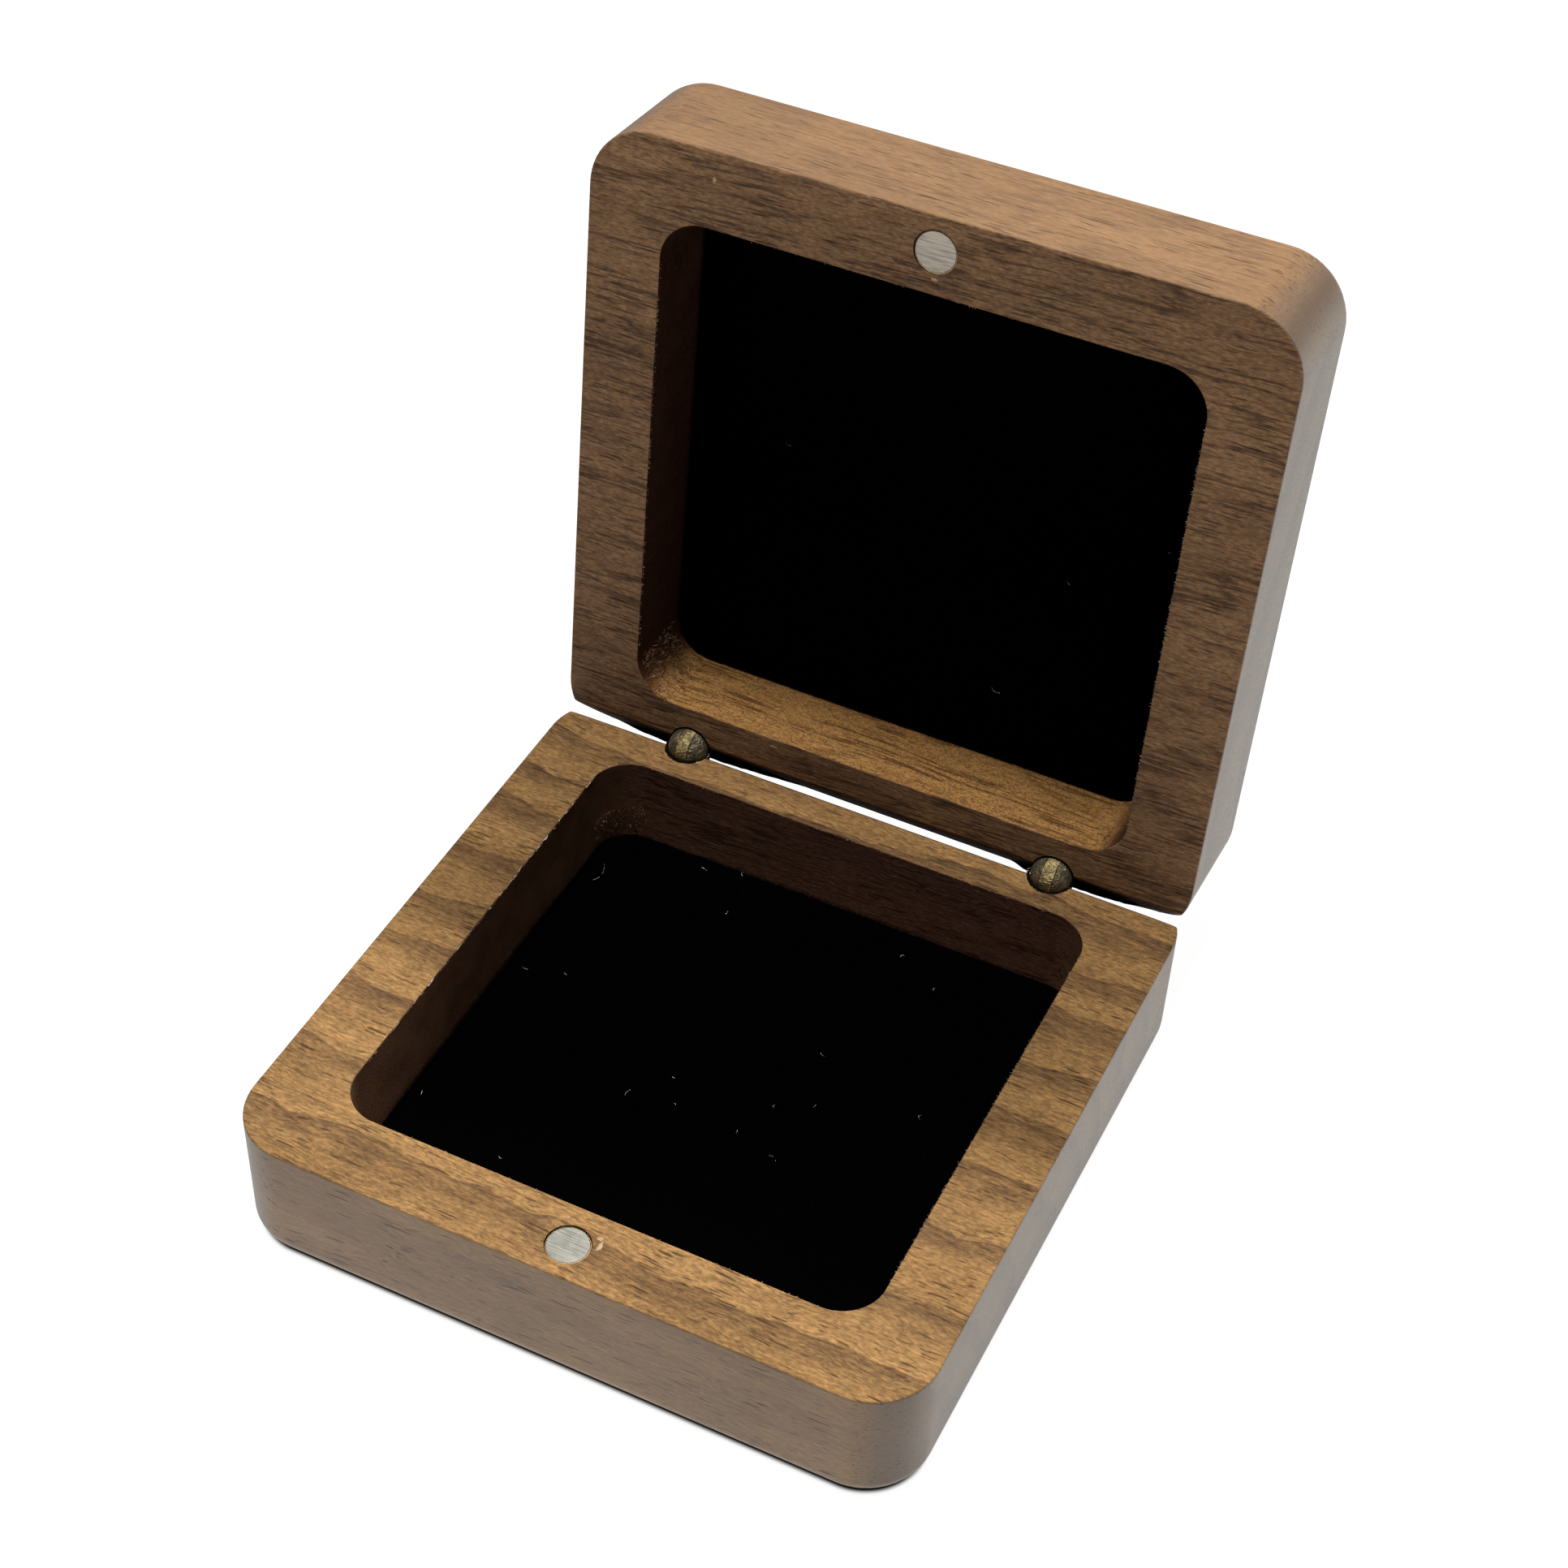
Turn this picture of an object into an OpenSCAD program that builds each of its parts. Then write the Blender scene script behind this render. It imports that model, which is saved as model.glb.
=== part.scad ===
// Cufflink display box: two milled walnut halves on two small barrel hinges, shown open.
// Millimetres. The origin is the centre of the base's underside, +Z up, +Y to the rear.

/* [Box] */
// Width of both halves
box_w = 80; // [66:1:120]
// Depth of both halves, front to rear
box_d = 80; // [66:1:120]
// Height of each half
half_h = 16.5; // [14:0.5:24]
// Radius of the four upright corners
corner_r = 7.5; // [4:0.5:12]
// Roundover of the outer bottom and top edges
edge_r = 2.5; // [1:0.1:3]
// Gap that the finish leaves between the closed halves
seam = 0.1; // [0.1:0.05:0.4]

/* [Pocket] */
// Width of the rim round each pocket
rim_w = 8.9; // [8.2:0.1:12]
// Depth of each pocket below the rim
pocket_depth = 12.5; // [8:0.5:12.5]
// Radius of the pocket's corners
pocket_r = 5; // [2:0.5:8]

/* [Velvet pads] */
// Thickness of the base's flocked pad
base_pad_t = 1.3; // [0.8:0.1:3]
// Thickness of the lid's flocked pad
lid_pad_t = 2.3; // [0.8:0.1:3]
// Gap round the pads
pad_gap = 0.15; // [0.1:0.05:0.5]

/* [Hinges] */
// Angle between the halves when the lid stands open
open_angle = 96; // [90:1:104]
// Extra angle to where the hinge shoulders meet
stop_margin = 0.5; // [0.3:0.1:1.5]
// Barrel diameter
barrel_d = 5; // [4:0.5:6]
// Barrel length from the pin axis to its end
barrel_len = 10.5; // [8:0.5:12]
// Distance of each hinge from the side of the box
hinge_inset_x = 16.5; // [12:0.5:24]
// Distance of the pin axis from the rear face
hinge_inset_y = 3.5; // [3.5:0.1:4.5]
// Distance from the pin axis forward to where the rear bevels begin
bevel_lead = 0.9; // [0.6:0.1:1.2]
// Thickness of the knuckle's middle leaf
leaf_t = 1.5; // [1:0.1:1.8]
// Gap on each side of the middle leaf
leaf_gap = 0.1; // [0.06:0.02:0.2]
// Depth ground off the round end of the middle leaf
leaf_flat = 0.1; // [0.05:0.05:0.3]
// Diameter of the cross pin
pin_d = 1.2; // [0.8:0.1:1.6]
// Radial running clearance of the middle leaf on the pin
pin_play = 0.04; // [0.02:0.01:0.08]
// Depth of the pin's ends below the ball of the knuckle
pin_sink = 0.15; // [0.1:0.05:0.3]
// Number of glue grooves round each barrel
groove_count = 4; // [2:1:5]
// Pitch of the glue grooves
groove_pitch = 1.5; // [1.2:0.1:1.6]
// Depth of the glue grooves
groove_depth = 0.2; // [0.1:0.05:0.3]
// Radial glue gap round a barrel in its hole
barrel_gap = 0.05; // [0.03:0.01:0.1]

/* [Magnets] */
// Magnet diameter
magnet_d = 5; // [4:0.5:6]
// Magnet thickness
magnet_t = 2; // [1:0.5:3]
// Distance of the magnet's centre from the front face
magnet_inset = 4.1; // [3.8:0.1:4.6]
// Depth of the magnet's face below the rim
magnet_sink = 0.15; // [0.05:0.05:0.5]
// Chamfer of the magnet's edges
magnet_chamfer = 0.25; // [0.1:0.05:0.4]
// Radial glue gap round a magnet in its hole
magnet_gap = 0.1; // [0.05:0.05:0.2]

/* [Hidden] */
$fn = 64;
over = 1;
barrel_r = barrel_d / 2;
pin_r = pin_d / 2;
pin_len = 2 * (sqrt(barrel_r * barrel_r - pin_r * pin_r) - pin_sink);
pin_y = box_d / 2 - hinge_inset_y;
pin_z = half_h + seam / 2;
hinge_x = box_w / 2 - hinge_inset_x;
shoulder = barrel_r / tan((180 - open_angle - stop_margin) / 2);
slot_w = leaf_t + 2 * leaf_gap;
groove_w = groove_pitch / 2;
bevel_lean = 6;
bevel_run = hinge_inset_y + bevel_lead;
bevel_rise = bevel_run * tan((open_angle - bevel_lean) / 2);
pocket_w = box_w - 2 * rim_w;
pocket_d = box_d - 2 * rim_w;
magnet_y = magnet_inset - box_d / 2;
wood = "#8a5f3c";
velvet = "#0b0b0c";
nickel = "#b9b7b0";
brass = "#9a8148";

// Upright edge profile of a block, from its axis to the wall, rounded at the bottom
module edge_profile(width, height, radius) {
    translate([0, radius])
        square([width, height - radius]);
    square([width - radius, height]);
    translate([width - radius, radius])
        circle(r = radius);
}

// Block with upright round corners and a roundover along its bottom edge
module rounded_block(w, d, h, r, e) {
    for (x = [-1, 1], y = [-1, 1])
        translate([x * (w / 2 - r), y * (d / 2 - r), 0])
            rotate_extrude()
                edge_profile(r, h, e);
    for (side = [0, 1])
        mirror([0, side, 0])
            rotate([90, 0, 90])
                linear_extrude(w - 2 * r, center = true)
                    edge_profile(d / 2, h, e);
    for (side = [0, 1])
        mirror([side, 0, 0])
            rotate([90, 0, 0])
                linear_extrude(d - 2 * r, center = true)
                    edge_profile(w / 2, h, e);
}

module rounded_plate(w, d, h, r) {
    for (x = [-1, 1], y = [-1, 1])
        translate([x * (w / 2 - r), y * (d / 2 - r), 0])
            cylinder(r = r, h = h);
    translate([-w / 2, r - d / 2, 0])
        cube([w, d - 2 * r, h]);
    translate([r - w / 2, -d / 2, 0])
        cube([w - 2 * r, d, h]);
}

// Wedge that the rear bevel takes off a half's rim
module rear_bevel() {
    translate([0, box_d / 2, half_h])
        rotate([90, 0, 90])
            linear_extrude(box_w + 2 * over, center = true)
                polygon([[-bevel_run, 0], [0, -bevel_rise], [over, -bevel_rise], [over, over], [-bevel_run, over]]);
}

// One milled half, standing on its outer face with its rim at half_h
module half_shell() {
    difference() {
        rounded_block(box_w, box_d, half_h, corner_r, edge_r);
        translate([0, 0, half_h - pocket_depth])
            rounded_plate(pocket_w, pocket_d, pocket_depth + over, pocket_r);
        rear_bevel();
        for (side = [-1, 1])
            translate([side * hinge_x, pin_y, pin_z - barrel_len])
                cylinder(r = barrel_r + barrel_gap, h = barrel_len + over);
        translate([0, magnet_y, half_h - magnet_sink - magnet_t])
            cylinder(d = magnet_d + 2 * magnet_gap, h = magnet_t + magnet_sink + over);
    }
}

module half_pad(thickness) {
    translate([0, 0, half_h - pocket_depth])
        rounded_plate(pocket_w - 2 * pad_gap, pocket_d - 2 * pad_gap, thickness, pocket_r - pad_gap);
}

module half_magnet() {
    flat_r = magnet_d / 2 - magnet_chamfer;
    translate([0, magnet_y, half_h - magnet_sink - magnet_t])
        rotate_extrude()
            polygon([[0, 0], [flat_r, 0], [magnet_d / 2, magnet_chamfer],
                [magnet_d / 2, magnet_t - magnet_chamfer], [flat_r, magnet_t], [0, magnet_t]]);
}

// Round barrel on the z axis below the pin axis, with a half ball on top and glue grooves below
module barrel_blank() {
    difference() {
        rotate_extrude()
            union() {
                translate([0, -barrel_len])
                    square([barrel_r, barrel_len]);
                intersection() {
                    circle(r = barrel_r);
                    square([barrel_r, barrel_r]);
                }
            }
        for (i = [1 : groove_count])
            translate([0, 0, i * groove_pitch - barrel_len])
                rotate_extrude()
                    translate([barrel_r - groove_depth, -groove_w / 2])
                        square([groove_depth + over, groove_w]);
    }
}

module cross_bore(radius) {
    rotate([0, 90, 0])
        cylinder(r = radius, h = barrel_d + 2 * over, center = true);
}

// Barrel with the two outer leaves, which hold the pin tight
module fork_barrel() {
    difference() {
        barrel_blank();
        translate([-slot_w / 2, -barrel_d, -shoulder])
            cube([slot_w, 2 * barrel_d, shoulder + barrel_d]);
        cross_bore(pin_r);
    }
}

// Barrel with the middle leaf, which turns on the pin
module tongue_barrel() {
    difference() {
        barrel_blank();
        for (side = [0, 1])
            mirror([side, 0, 0])
                translate([leaf_t / 2, -barrel_d, -shoulder])
                    cube([barrel_d, 2 * barrel_d, shoulder + barrel_d]);
        translate([-barrel_d, -barrel_d, barrel_r - leaf_flat])
            cube([2 * barrel_d, 2 * barrel_d, barrel_d]);
        cross_bore(pin_r + pin_play);
    }
}

// The upper half is the lower one mirrored in the seam and turned about the pins
module on_lid() {
    translate([0, pin_y, pin_z])
        rotate([-open_angle, 0, 0])
            mirror([0, 0, 1])
                translate([0, -pin_y, -pin_z])
                    children();
}

module at_pin(side) {
    translate([side * hinge_x, pin_y, pin_z])
        children();
}

module base_shell() {
    color(wood)
        half_shell();
}

module lid_shell() {
    color(wood)
        on_lid()
            half_shell();
}

module base_velvet() {
    color(velvet)
        half_pad(base_pad_t);
}

module lid_velvet() {
    color(velvet)
        on_lid()
            half_pad(lid_pad_t);
}

module base_magnet() {
    color(nickel)
        half_magnet();
}

module lid_magnet() {
    color(nickel)
        on_lid()
            half_magnet();
}

module base_barrel(side) {
    color(brass)
        at_pin(side)
            fork_barrel();
}

module lid_barrel(side) {
    color(brass)
        on_lid()
            at_pin(side)
                tongue_barrel();
}

module hinge_pin(side) {
    color(nickel)
        at_pin(side)
            rotate([0, 90, 0])
                cylinder(r = pin_r, h = pin_len, center = true);
}

base_shell();
lid_shell();
base_velvet();
lid_velvet();
base_magnet();
lid_magnet();
base_barrel(-1);  // left_base_barrel
lid_barrel(-1);  // left_lid_barrel
hinge_pin(-1);  // left_hinge_pin
base_barrel(1);  // right_base_barrel
lid_barrel(1);  // right_lid_barrel
hinge_pin(1);  // right_hinge_pin
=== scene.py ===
# %% [markdown]
# A cufflink box in Blender, step by step. Two walnut halves are milled from solid blocks, each with a
# rounded square pocket and a black flocked pad. Two small brass barrel hinges join them, and two nickel
# discs hold them shut. The solids come from the CAD model and stay where they are. This lesson dresses
# them: wood with grain and pores, velvet with a cut edge, metal with wear, and the light of a small studio.

# %% The fixed frame from the CAD model
import math
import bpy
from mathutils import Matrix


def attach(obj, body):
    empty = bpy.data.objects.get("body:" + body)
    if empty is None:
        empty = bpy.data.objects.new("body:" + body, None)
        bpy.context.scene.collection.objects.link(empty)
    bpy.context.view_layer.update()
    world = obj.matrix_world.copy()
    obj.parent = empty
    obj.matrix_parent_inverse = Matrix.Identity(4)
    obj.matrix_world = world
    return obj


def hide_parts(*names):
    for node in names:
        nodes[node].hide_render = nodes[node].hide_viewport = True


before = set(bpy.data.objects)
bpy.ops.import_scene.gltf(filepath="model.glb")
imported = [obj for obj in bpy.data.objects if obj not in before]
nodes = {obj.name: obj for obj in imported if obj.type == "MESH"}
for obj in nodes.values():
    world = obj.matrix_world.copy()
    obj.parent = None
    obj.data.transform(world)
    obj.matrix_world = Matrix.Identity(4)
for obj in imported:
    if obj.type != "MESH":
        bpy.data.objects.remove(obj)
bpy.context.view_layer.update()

from types import SimpleNamespace

import bmesh
import bpy
import numpy as np
from mathutils import Matrix

# %% [markdown]
# The real box is 80 mm square and stands open at 96 degrees. The lid is the base's own shape, mirrored in
# the seam and turned about the hinge pins. So a detail is placed in the lower half's coordinates once, and
# a matrix carries it to the lid. Lengths are written in millimetres and multiplied by MM at the end.

# %% The box's own measures and the matrix of the lid
MM = 0.001
HALF_WIDTH = 40.0
HALF_HEIGHT = 16.5
POCKET_HALF = 31.1
POCKET_RADIUS = 5.0
POCKET_DEPTH = 12.5
CORNER_RADIUS = 7.5
PIN_Y = 36.5
PIN_Z = 16.55
OPEN_ANGLE = math.radians(96)


def lid_matrix():
    """Moves the pin to the origin, mirrors z, turns by minus the open angle about x, and moves back."""
    away = Matrix.Translation((0, -PIN_Y, -PIN_Z))
    flip = Matrix.Diagonal((1, 1, -1, 1))
    turn = Matrix.Rotation(-OPEN_ANGLE, 4, "X")
    return np.array(away.inverted() @ turn @ flip @ away)


TO_WORLD = {"base": np.eye(4), "lid": lid_matrix()}
front_edge = TO_WORLD["lid"] @ [0, -HALF_WIDTH, HALF_HEIGHT, 1]
print("lid's front edge stands at", front_edge[:3].round(2), "mm")

# %% [markdown]
# The photograph's camera was found from the straight edges of the box: two families of parallel edges
# and the upright lid give the direction, the distance and the lens. The picture is a square crop whose
# centre lies a little off the lens axis, and a small camera shift says so.

# %% Camera at the photograph's viewing angle
IMAGE_SIDE = 1932
FOCAL_PIXELS = 3598.8
AXIS_PIXEL = (945.9, 1087.8)
CAMERA_PLACE = (93.524, -195.165, 252.937)
CAMERA_RIGHT = (0.896775, 0.441560, 0.028634)
CAMERA_DOWN = (0.330363, -0.625082, -0.707200)
CAMERA_FORWARD = (-0.294373, 0.643659, -0.706433)
SENSOR = 36.0

camera_data = bpy.data.cameras.new("studio_camera")
camera = bpy.data.objects.new("studio_camera", camera_data)
bpy.context.scene.collection.objects.link(camera)
axes = Matrix((CAMERA_RIGHT, [-v for v in CAMERA_DOWN], [-v for v in CAMERA_FORWARD])).transposed()
camera.matrix_world = Matrix.Translation([v * MM for v in CAMERA_PLACE]) @ axes.to_4x4()
camera_data.sensor_width = SENSOR
camera_data.lens = FOCAL_PIXELS / IMAGE_SIDE * SENSOR
camera_data.shift_x = (IMAGE_SIDE / 2 - AXIS_PIXEL[0]) / IMAGE_SIDE
camera_data.shift_y = (AXIS_PIXEL[1] - IMAGE_SIDE / 2) / IMAGE_SIDE
camera_data.clip_start = 0.01
camera_data.clip_end = 50
bpy.context.scene.camera = camera
print("lens", round(camera_data.lens, 1), "mm")

# %% [markdown]
# Every finish below is a small graph of nodes. A few helpers keep the graphs readable: put() adds a node,
# sets it and joins its sockets in one line, give() joins the results to the shader, and the others each
# give the output of one common node.

# %% Helpers for finishes
def feed(tree, socket, value):
    """Links an output to the socket, or sets any other value on it."""
    if isinstance(value, bpy.types.NodeSocket):
        tree.links.new(value, socket)
    else:
        socket.default_value = value


def put(tree, kind, sockets=None, **settings):
    """Adds one shader node. Sockets are given by name or number, and settings are the node's own."""
    made = tree.nodes.new("ShaderNode" + kind)
    for name, value in settings.items():
        setattr(made, name, value)
    for name, value in (sockets or {}).items():
        feed(tree, made.inputs[name], value)
    return made


def maths(tree, operation, *values):
    """The output of one Math node whose inputs are the values, in order."""
    return put(tree, "Math", dict(enumerate(values)), operation=operation).outputs[0]


def times(tree, first, second):
    """The product of two outputs or numbers."""
    return maths(tree, "MULTIPLY", first, second)


def vector_maths(tree, operation, *values):
    """The output of one Vector Math node: its number for LENGTH, else its vector."""
    made = put(tree, "VectorMath", dict(enumerate(values)), operation=operation)
    return made.outputs["Value" if operation == "LENGTH" else "Vector"]


def span(tree, value, low, high, new_low=0.0, new_high=1.0, soft=False):
    """The value mapped from low..high to new_low..new_high and held there, along an S curve if soft."""
    sockets = {"Value": value, "From Min": low, "From Max": high, "To Min": new_low, "To Max": new_high}
    kind = "SMOOTHSTEP" if soft else "LINEAR"
    return put(tree, "MapRange", sockets, interpolation_type=kind).outputs[0]


def mix(tree, share, first, second, mode="MIX"):
    """The first colour changed towards the second by the share."""
    made = put(tree, "Mix", data_type="RGBA", blend_type=mode)
    for name, value in (("Factor_Float", share), ("A_Color", first), ("B_Color", second)):
        feed(tree, next(s for s in made.inputs if s.identifier == name), value)
    return next(s for s in made.outputs if s.identifier == "Result_Color")


def noise(tree, vector, scale, detail=2.0, rough=0.5, warp=0.0):
    """The value of a Noise texture at a vector."""
    sockets = {"Vector": vector, "Scale": scale, "Detail": detail, "Roughness": rough, "Distortion": warp}
    return put(tree, "TexNoise", sockets).outputs[0]


def stretch(tree, vector, scale, place=(0, 0, 0), turn=(0, 0, 0)):
    """The vector scaled, turned and moved by one Mapping node."""
    sockets = {"Vector": vector, "Location": place, "Rotation": turn, "Scale": scale}
    return put(tree, "Mapping", sockets).outputs[0]


def new_finish(name, specular, ior=1.5, metallic=0.0):
    """A material whose graph is empty but for its Principled shader: the material, the graph, the shader."""
    finish = bpy.data.materials.new(name)
    finish.use_nodes = True
    tree = finish.node_tree
    shader = next(n for n in tree.nodes if n.type == "BSDF_PRINCIPLED")
    shader.inputs["Specular IOR Level"].default_value = specular
    shader.inputs["IOR"].default_value = ior
    shader.inputs["Metallic"].default_value = metallic
    return finish, tree, shader


def give(tree, shader, colour, rough, relief=None, strength=1.0, distance=0.0):
    """Gives the shader its colour and roughness, and a bump of the relief, distance metres high."""
    feed(tree, shader.inputs["Base Color"], colour)
    feed(tree, shader.inputs["Roughness"], rough)
    if relief:
        bump = put(tree, "Bump", {"Height": relief, "Strength": strength, "Distance": distance})
        tree.links.new(bump.outputs[0], shader.inputs["Normal"])


def place_mm(tree):
    """Object coordinates in millimetres."""
    coordinates = put(tree, "TexCoord").outputs["Object"]
    return stretch(tree, coordinates, (1 / MM,) * 3)


# %% [markdown]
# The box stands on white paper that is itself a soft light, so hardly any shadow falls on it. Only under
# the rounded foot of the box is a shadow painted: there the glow fades out, and the paper shows as a thin
# dark line. The distance from the footprint, a rounded square, tells how far out a point of the paper is,
# and the glow fades in with it.

# %% White paper
def footprint_distance(tree, place):
    """Millimetres outside the footprint: the length of what |x| and |y| have over the corner's centre."""
    flat = vector_maths(tree, "MULTIPLY", vector_maths(tree, "ABSOLUTE", place), (1, 1, 0))
    inner = HALF_WIDTH - CORNER_RADIUS
    over = vector_maths(tree, "MAXIMUM", vector_maths(tree, "SUBTRACT", flat, (inner, inner, 0)), (0, 0, 0))
    return maths(tree, "SUBTRACT", vector_maths(tree, "LENGTH", over), CORNER_RADIUS)


PAPER_REACH = 6.0
PAPER_GLOW = 0.97
SHADE_END, GLOW_START = -1.0, -0.3


def studio_floor():
    """A flat square, its four corners given directly, with a softly glowing paper finish."""
    mesh = bpy.data.meshes.new("studio_floor")
    corners = [(x * PAPER_REACH, y * PAPER_REACH, 0) for x, y in ((-1, -1), (1, -1), (1, 1), (-1, 1))]
    mesh.from_pydata(corners, [], [(0, 1, 2, 3)])
    paper = bpy.data.objects.new("studio_floor", mesh)
    bpy.context.scene.collection.objects.link(paper)
    finish, tree, shader = new_finish("white_paper", 0.0)
    place = place_mm(tree)
    tooth = span(tree, noise(tree, place, 0.8, 3), 0.3, 0.7)
    give(tree, shader, mix(tree, tooth, (0.15, 0.15, 0.15, 1), (0.17, 0.17, 0.165, 1)), 0.9)
    away = footprint_distance(tree, place)
    # Painted contact shadow: the glow fades out round the footprint, so the paper is dark there.
    glow = span(tree, away, SHADE_END, GLOW_START, 0.0, PAPER_GLOW, soft=True)
    tree.links.new(glow, shader.inputs["Emission Strength"])
    shader.inputs["Emission Color"].default_value = (1, 1, 1, 1)
    mesh.materials.append(finish)
    return paper


floor = studio_floor()

# %% [markdown]
# Two lamps shape the box. The overhead one hangs nearly above it, so the tops are bright and the pockets'
# walls stay dim. The rear one stands behind at 56 degrees: the lid keeps it off the rear half of the rim,
# as in the photograph. A dim world fills in, brighter high up behind, where the metal discs mirror it.

# %% Lamps and world
def lamp(name, place, width, depth, power):
    """A rectangular area light at a place in metres, facing the box."""
    data = bpy.data.lights.new(name, "AREA")
    data.shape = "RECTANGLE"
    data.size, data.size_y, data.energy = width, depth, power
    light = bpy.data.objects.new(name, data)
    bpy.context.scene.collection.objects.link(light)
    away = Matrix.Translation(place).to_translation()
    light.matrix_world = Matrix.Translation(place) @ away.to_track_quat("Z", "Y").to_matrix().to_4x4()
    return light


def keep_off(light, *stage_pieces):
    """Light linking: the light doesn't fall on these pieces of the stage."""
    group = bpy.data.collections.new(light.name + "_keeps_off")
    for piece in stage_pieces:
        group.objects.link(piece)
    light.light_linking.receiver_collection = group
    for member in group.collection_objects:
        member.light_linking.link_state = "EXCLUDE"


SKY_GLOW, ROOM_GLOW = 0.42, 0.03


def studio_world():
    """Sky brightness by direction: dim all round, brighter high up behind the box, white to the camera."""
    world = bpy.data.worlds.new("studio_world")
    bpy.context.scene.world = world
    world.use_nodes = True
    tree = world.node_tree
    tree.nodes.clear()
    direction = put(tree, "TexCoord").outputs["Generated"]
    axis = put(tree, "SeparateXYZ", {0: direction}).outputs
    high = span(tree, axis[2], 0.1, 0.7, soft=True)
    behind = span(tree, axis[1], 0.1, 0.7, soft=True)
    glow = maths(tree, "MULTIPLY_ADD", times(tree, high, behind), SKY_GLOW, ROOM_GLOW)
    lit = put(tree, "Background", {"Color": (1.0, 0.99, 0.97, 1), "Strength": glow})
    seen = put(tree, "Background", {"Color": (1, 1, 1, 1), "Strength": 1.0})
    ray = put(tree, "LightPath").outputs["Is Camera Ray"]
    mixed = put(tree, "MixShader", {0: ray, 1: lit.outputs[0], 2: seen.outputs[0]})
    put(tree, "OutputWorld", {0: mixed.outputs[0]})


LAMP_POWER = 7.8
overhead = lamp("overhead_lamp", (-0.03, 0.005, 0.90), 0.20, 0.20, LAMP_POWER)
rear = lamp("rear_lamp", (0.0, 0.52, 0.77), 0.12, 0.10, LAMP_POWER)
keep_off(rear, floor)
studio_world()
bpy.context.scene.view_settings.view_transform = "Standard"
bpy.context.scene.view_settings.look = "None"
print("lamps:", [(light.name, light.data.energy) for light in (overhead, rear)])

# %% [markdown]
# Walnut is a stack of growth rings cut across by a plane. Along the grain everything is stretched: the
# fibres are long thin streaks and the open pores are short dark dashes. Across the grain, on the two end
# faces, the same rings and pores show as arcs and dots. One solid texture gives both, if its coordinates
# are the block's own. So the lid's coordinates are first turned back into the block that it was cut from.

# %% Coordinates and marks of the wood
def block_place(tree, lid):
    """Millimetres in the lower half's coordinates: the lid's are turned back and mirrored."""
    place = place_mm(tree)
    if not lid:
        return place
    centred = vector_maths(tree, "SUBTRACT", place, (0, PIN_Y, PIN_Z))
    turned = stretch(tree, centred, (1, 1, 1), turn=(OPEN_ANGLE, 0, 0))
    flipped = vector_maths(tree, "MULTIPLY", turned, (1, 1, -1))
    return vector_maths(tree, "ADD", flipped, (0, PIN_Y, PIN_Z))


def grain(tree, place, along, across, detail=2.0, rough=0.5, warp=0.0):
    """Noise whose spots are along mm long and across mm wide."""
    return noise(tree, stretch(tree, place, (1 / along, 1 / across, 1 / across)), 1.0, detail, rough, warp)


SLOW_SWING, WAVY_SWING = 12.0, 3.0


def ring_shade(tree, place, pitch, heart):
    """0 to 1 through each ring.

    The ring number is the distance from the tree's heart, moved by a slow and a wavy noise, divided by
    the pitch. Its fraction rises late in the ring and drops at once at the ring's end.
    """
    axis = put(tree, "SeparateXYZ", {0: place}).outputs
    across = maths(tree, "ADD", axis[1], heart[0])
    upward = maths(tree, "ADD", axis[2], heart[1])
    squares = maths(tree, "MULTIPLY_ADD", across, across, times(tree, upward, upward))
    slow, wavy = grain(tree, place, 90, 22), grain(tree, place, 9, 4)
    moved = maths(tree, "MULTIPLY_ADD", wavy, WAVY_SWING, maths(tree, "SQRT", squares))
    moved = maths(tree, "MULTIPLY_ADD", slow, SLOW_SWING, moved)
    ring = maths(tree, "FRACT", maths(tree, "DIVIDE", moved, pitch))
    drop = span(tree, ring, 1.0, 0.97)
    zone = times(tree, span(tree, ring, 0.40, 0.85, 0.0, 0.80, soft=True), drop)
    line = times(tree, span(tree, ring, 0.87, 0.95), drop)
    torn = span(tree, grain(tree, place, 5, 0.8, 3, 0.6), 0.38, 0.62, 0.45, 1.0)
    return times(tree, maths(tree, "MAXIMUM", zone, line), torn)


def pores(tree, place, cell_x, cell_across, size, share):
    """Dashes of 1 at the middles of cells stretched along the grain, kept in a share of the cells."""
    stretched = stretch(tree, place, (1 / cell_x, 1 / cell_across, 1 / cell_across))
    cells = put(tree, "TexVoronoi", {"Vector": stretched, "Scale": 1.0, "Randomness": 1.0})
    kept = put(tree, "SeparateColor", {0: cells.outputs["Color"]}).outputs[0]
    dash = span(tree, cells.outputs["Distance"], size, size * 0.65, soft=True)
    return times(tree, dash, span(tree, kept, share, share - 0.08))


def dark_lines(tree, place, along, across, width):
    """Thin lines of 1 that wander along the grain, where a stretched noise crosses one half."""
    level = maths(tree, "ABSOLUTE", maths(tree, "SUBTRACT", grain(tree, place, along, across), 0.5))
    return span(tree, level, width, width * 0.25)


# %% [markdown]
# The two halves were cut from different planks. The base's has wavy grain and broad growth bands, and the
# lid's has straight grain with many thin dark lines. A figure says so in a few numbers. From it come the
# marks of the wood, worked out once, and then the wood's own colour, which each mark darkens in turn.

# %% Figure and colour of the two planks
FIGURES = {False: {"seed": 12.0, "pitch": 7.4, "heart": (95.0, 34.0), "rings": 0.85, "lines": 0.30,
                   "line_width": 0.040, "pores": 0.50, "wave": 2.4},
           True: {"seed": 85.0, "pitch": 9.5, "heart": (-14.0, 64.0), "rings": 0.35, "lines": 0.65,
                  "line_width": 0.065, "pores": 0.95, "wave": 1.0}}
TINTS = {False: {"pale": (0.385, 0.215, 0.078, 1), "mid": (0.162, 0.084, 0.030, 1)},
         True: {"pale": (0.315, 0.178, 0.087, 1), "mid": (0.160, 0.084, 0.041, 1)}}
DARK, PORE_COLOUR = (0.062, 0.031, 0.016, 1), (0.030, 0.015, 0.010, 1)


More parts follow.
